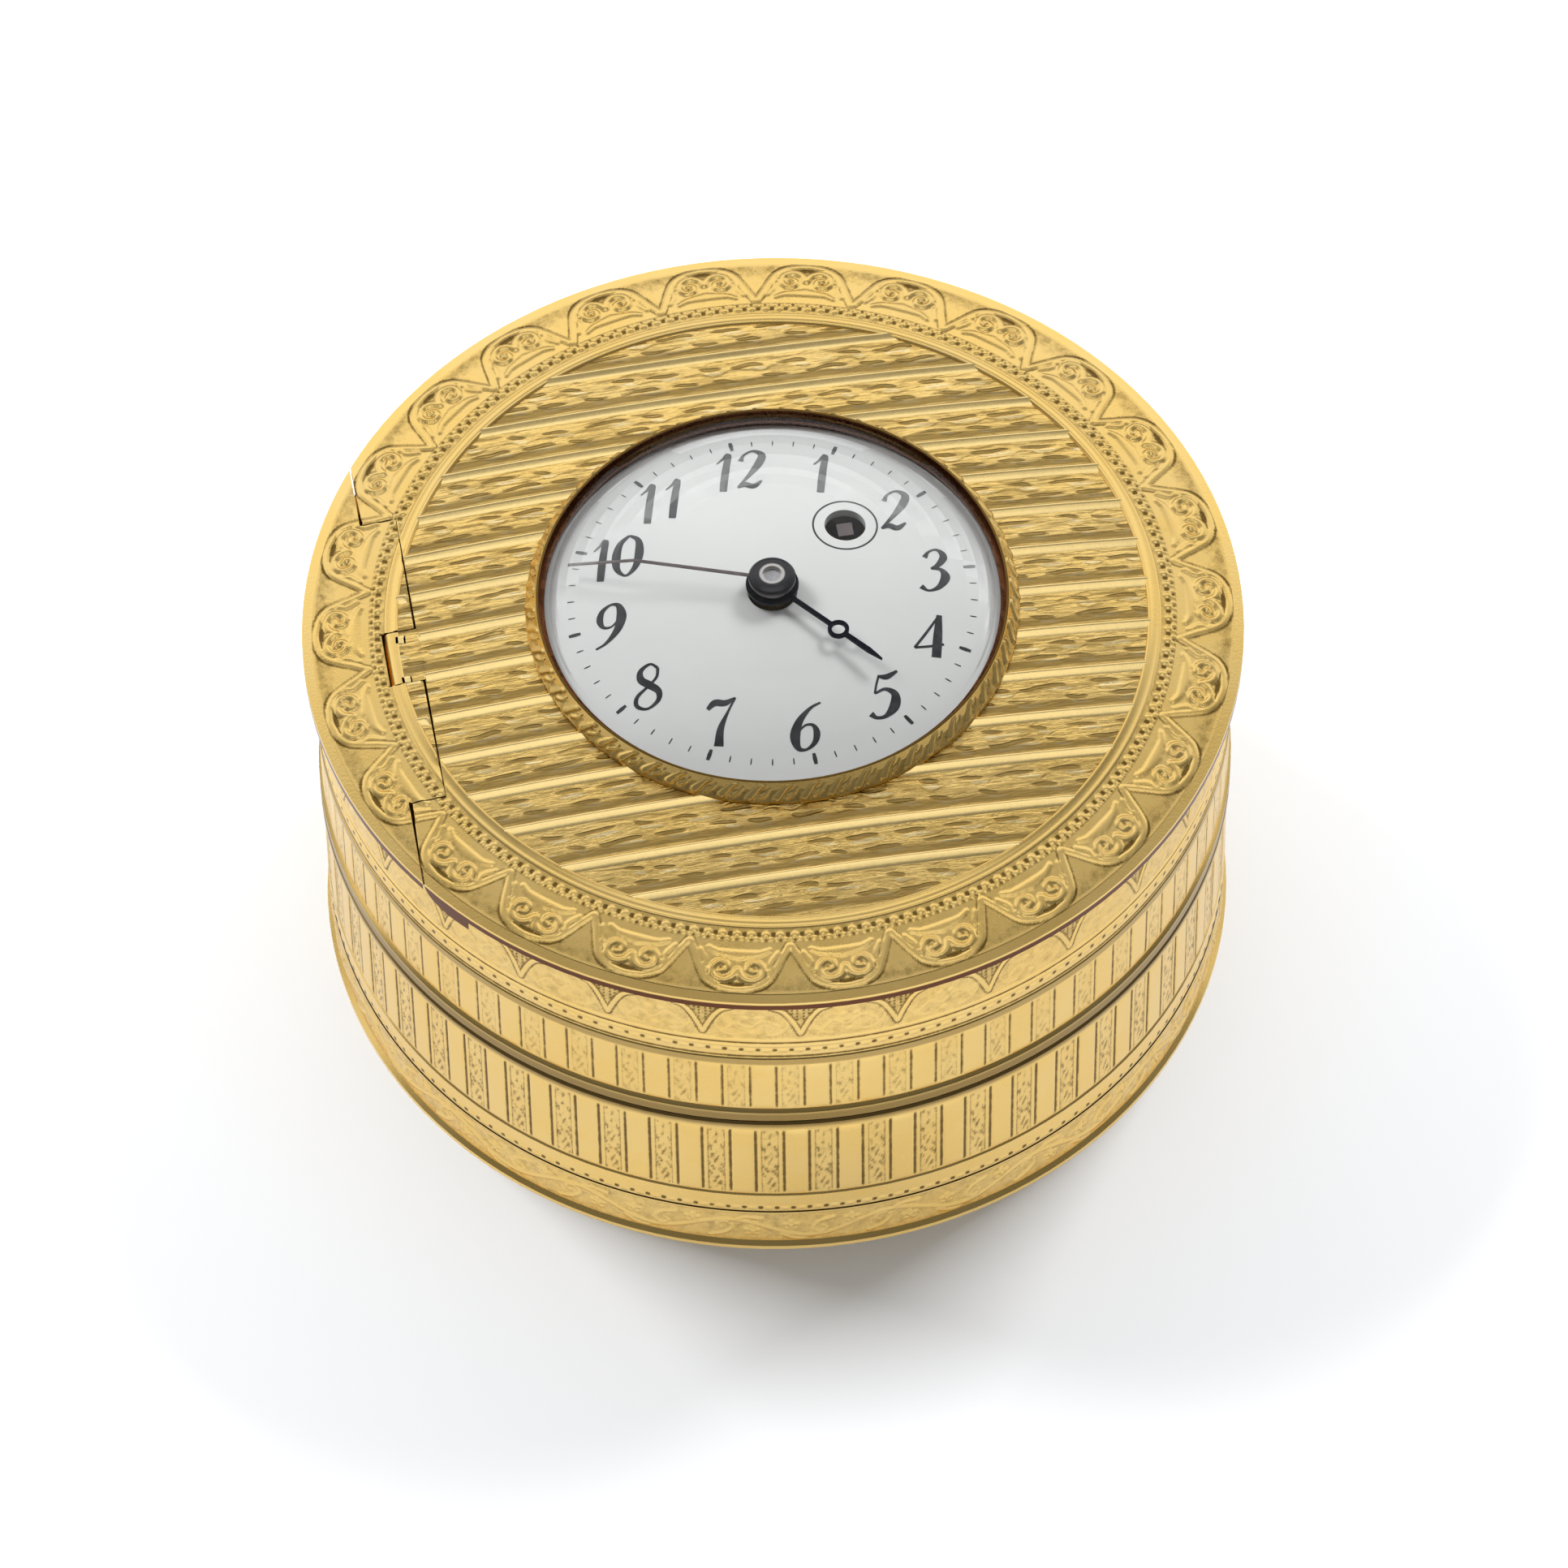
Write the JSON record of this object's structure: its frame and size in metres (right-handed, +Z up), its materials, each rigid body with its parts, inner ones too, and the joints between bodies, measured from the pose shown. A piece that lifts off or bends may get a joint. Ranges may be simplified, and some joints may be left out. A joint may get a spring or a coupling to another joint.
{
  "type": "drum clock",
  "caption": "Round drum-shaped box with a pull-off lid that holds a small key-wound clock under a hinged, domed cover with a glazed opening.",
  "frame": {"origin": "centre of the foot's rest plane, on the drum's axis", "axes": "+Z up along the drum's axis, +Y towards 12 o'clock on the dial, +X towards 3 o'clock; the cover's hinge lies on the -X side"},
  "size_m": [0.066, 0.066, 0.0372],
  "materials": {
    "gold": "polished and engraved gold",
    "movement_brass": "gilt, matt",
    "steel": "polished",
    "blued_steel": "heat-blued, near black",
    "copper": "plain copper",
    "enamel": "glossy vitreous enamel",
    "crystal": "clear, polished"
  },
  "bodies": {
    "base": {"base_wall": "gold", "base_plate": "gold", "gorge": "gold"},
    "lid": {"lid_band": "gold", "lid_partition": "gold", "movement_seat": "gold", "hinge_segment": "gold", "hinge_pin": "steel", "case_screws": "steel", "main_plate": "movement_brass", "back_plate": "movement_brass", "pillars": "movement_brass", "pillar_screws": "blued_steel", "dial": "enamel", "dial_feet": "copper", "balance_cock": "movement_brass", "cock_screws": "blued_steel", "end_piece": "steel", "click_spring": "steel", "click_screws": "blued_steel", "minute_stud": "steel", "hairspring_stud": "steel"},
    "cover": {"top_cover": "gold", "cover_lip": "gold", "glass_bezel": "gold", "crystal": "crystal"},
    "winding": {"winding_arbor": "steel", "ratchet_wheel": "steel"},
    "barrel": {"barrel_drum": "movement_brass", "barrel_lid": "movement_brass", "mainspring": "steel"},
    "centre": {"centre_arbor": "steel", "centre_wheel": "movement_brass", "cannon_pinion": "steel", "minute_hand": "blued_steel", "hand_boss": "steel"},
    "hour": {"hour_wheel": "movement_brass", "hour_hand": "blued_steel"},
    "motion": {"minute_wheel": "movement_brass"},
    "third": {"third_arbor": "steel", "third_wheel": "movement_brass"},
    "fourth": {"fourth_arbor": "steel", "fourth_wheel": "movement_brass"},
    "escape": {"escape_arbor": "steel", "escape_wheel": "movement_brass"},
    "balance": {"balance_staff": "steel", "balance_wheel": "movement_brass", "hairspring": "blued_steel"},
    "regulator": {"regulator_index": "steel"}
  },
  "joints": [
    {"name": "lid_lift", "type": "slide", "parent": "base", "child": "lid", "axis": [0, 0, 1], "range_m": [0, 0.035]},
    {"name": "cover_hinge", "type": "hinge", "parent": "lid", "child": "cover", "pos_m": [-0.0261, 0, 0.0302], "axis": [0, -1, 0], "range_deg": [0, 90]},
    {"name": "winding_turn", "type": "hinge", "parent": "lid", "child": "winding", "pos_m": [0.00602, 0.00519, 0.026], "axis": [0, 0, -1], "range_deg": [0, 1440], "deforming": ["click_spring"]},
    {"name": "minute_turn", "type": "hinge", "parent": "lid", "child": "centre", "pos_m": [0, 0, 0.026], "axis": [0, 0, -1], "continuous": true},
    {"name": "barrel_turn", "type": "hinge", "parent": "lid", "child": "barrel", "pos_m": [0.00602, 0.00519, 0.026], "axis": [0, 0, -1], "continuous": true},
    {"name": "hour_turn", "type": "hinge", "parent": "lid", "child": "hour", "pos_m": [0, 0, 0.031], "axis": [0, 0, -1], "continuous": true},
    {"name": "minute_wheel_turn", "type": "hinge", "parent": "lid", "child": "motion", "pos_m": [-0.00131, -0.00361, 0.03], "axis": [0, 0, -1], "continuous": true},
    {"name": "third_turn", "type": "hinge", "parent": "lid", "child": "third", "pos_m": [-0.00538, 0.00047, 0.026], "axis": [0, 0, -1], "continuous": true},
    {"name": "fourth_turn", "type": "hinge", "parent": "lid", "child": "fourth", "pos_m": [-0.00424, -0.0038, 0.026], "axis": [0, 0, -1], "continuous": true},
    {"name": "escape_turn", "type": "hinge", "parent": "lid", "child": "escape", "pos_m": [-0.00147, -0.00656, 0.026], "axis": [0, 0, -1], "continuous": true},
    {"name": "balance_swing", "type": "hinge", "parent": "lid", "child": "balance", "pos_m": [0.00157, -0.0068, 0.022], "axis": [0, 0, 1], "range_deg": [-135, 135], "deforming": ["hairspring"]},
    {"name": "regulator_swing", "type": "hinge", "parent": "lid", "child": "regulator", "pos_m": [0.00157, -0.0068, 0.02], "axis": [0, 0, 1], "range_deg": [-20, 20]}
  ],
  "couplings": [
    {"joint": "barrel_turn", "follows": "minute_turn", "ratio": -0.16667},
    {"joint": "hour_turn", "follows": "minute_turn", "ratio": 0.083333},
    {"joint": "minute_wheel_turn", "follows": "minute_turn", "ratio": -0.33333},
    {"joint": "third_turn", "follows": "minute_turn", "ratio": -8},
    {"joint": "fourth_turn", "follows": "minute_turn", "ratio": 60},
    {"joint": "escape_turn", "follows": "minute_turn", "ratio": -450}
  ]
}
